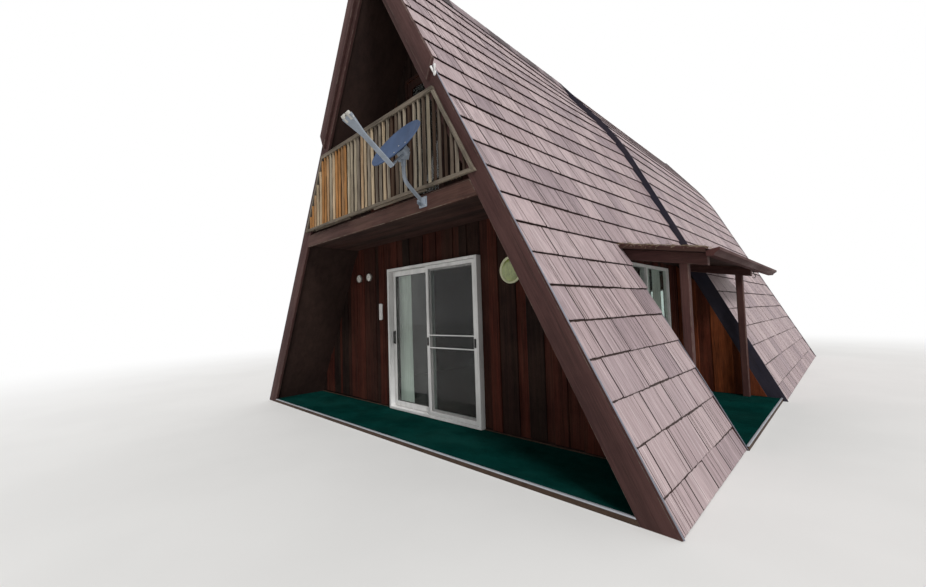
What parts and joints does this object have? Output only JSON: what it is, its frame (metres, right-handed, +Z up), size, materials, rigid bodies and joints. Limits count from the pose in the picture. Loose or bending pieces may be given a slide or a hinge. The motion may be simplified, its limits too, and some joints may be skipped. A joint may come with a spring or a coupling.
{
  "type": "a-frame cabin",
  "caption": "Steep A-frame cabin with an under-roof front porch, sliding patio door and insect screen, balcony, cut-in side porch with a lean-to roof, and a kneed rear roof section.",
  "frame": {"origin": "at ground level under the ridge, in the middle of the building's length, on the underside of the ground floor", "axes": "+X to the right seen from the front, +Y from the front gable to the rear along the ridge, +Z up"},
  "size_m": [6.8, 12.4219, 6.3156],
  "materials": {
    "floor_boards": "plain boards",
    "turf": "short synthetic turf",
    "edge_trim": "dull folded strip",
    "roof_lining": "stained boards",
    "metal_shakes": "pressed shake panels, weathered brown paint",
    "ridge_cap": "dark folded cap",
    "step_flashing": "folded flashing",
    "bargeboards": "brown stain, weathered",
    "wall_boards": "rough vertical boards and battens, reddish brown stain",
    "white_frames": "white paint",
    "glass": "clear glazing",
    "dark_beam": "brown stain",
    "loft_door": "dark brown stain",
    "weathered_railing": "weathered bare wood",
    "curtain_cloth": "plain white cloth",
    "red_posts": "reddish brown stain",
    "gutter_paint": "reddish brown paint",
    "black_handle": "black",
    "insect_mesh": "fine grey mesh",
    "dish_paint": "blue-grey paint",
    "dish_tube": "grey paint",
    "dial_plastic": "pale dial face",
    "plate_paint": "yellow-green paint"
  },
  "bodies": {
    "cabin": {"ground_floor": "floor_boards", "loft_floor": "floor_boards", "porch_turf": "turf", "porch_edge_trims": "edge_trim", "left_roof_front": "roof_lining", "right_roof_front": "roof_lining", "left_roof_back": "roof_lining", "right_roof_back": "roof_lining", "left_cover_front": "metal_shakes", "right_cover_front": "metal_shakes", "left_cover_back": "metal_shakes", "right_cover_back": "metal_shakes", "ridge_cap": "ridge_cap", "step_board": "step_flashing", "front_bargeboards": "bargeboards", "upper_bargeboards": "bargeboards", "rear_bargeboards": "bargeboards", "front_wall_left": "wall_boards", "front_wall_right": "wall_boards", "front_wall_over_door": "wall_boards", "front_wall_upper": "wall_boards", "rear_wall": "wall_boards", "window_frames": "white_frames", "window_glass": "glass", "balcony_door": "loft_door", "balcony_beam": "dark_beam", "balcony_floor": "floor_boards", "balcony_railing": "weathered_railing", "side_porch_walls": "wall_boards", "curtain_rails": "white_frames", "door_curtain": "curtain_cloth", "side_curtains": "curtain_cloth", "shed_roof": "roof_lining", "shed_cover": "metal_shakes", "shed_frame": "red_posts", "gutter": "gutter_paint", "door_frame": "white_frames", "dish_reflector": "dish_paint", "dish_mount": "dish_tube", "wall_dials": "dial_plastic", "round_plate": "plate_paint"},
    "glass_leaf": {"sliding_panel": "white_frames", "sliding_glass": "glass", "slider_handle": "black_handle"},
    "insect_screen": {"screen_frame": "white_frames", "screen_mesh": "insect_mesh"}
  },
  "joints": [
    {"name": "glass_slide", "type": "slide", "parent": "cabin", "child": "glass_leaf", "axis": [1, 0, 0], "range_m": [0, 0.78]},
    {"name": "screen_slide", "type": "slide", "parent": "cabin", "child": "insect_screen", "axis": [-1, 0, 0], "range_m": [0, 0.82]}
  ]
}
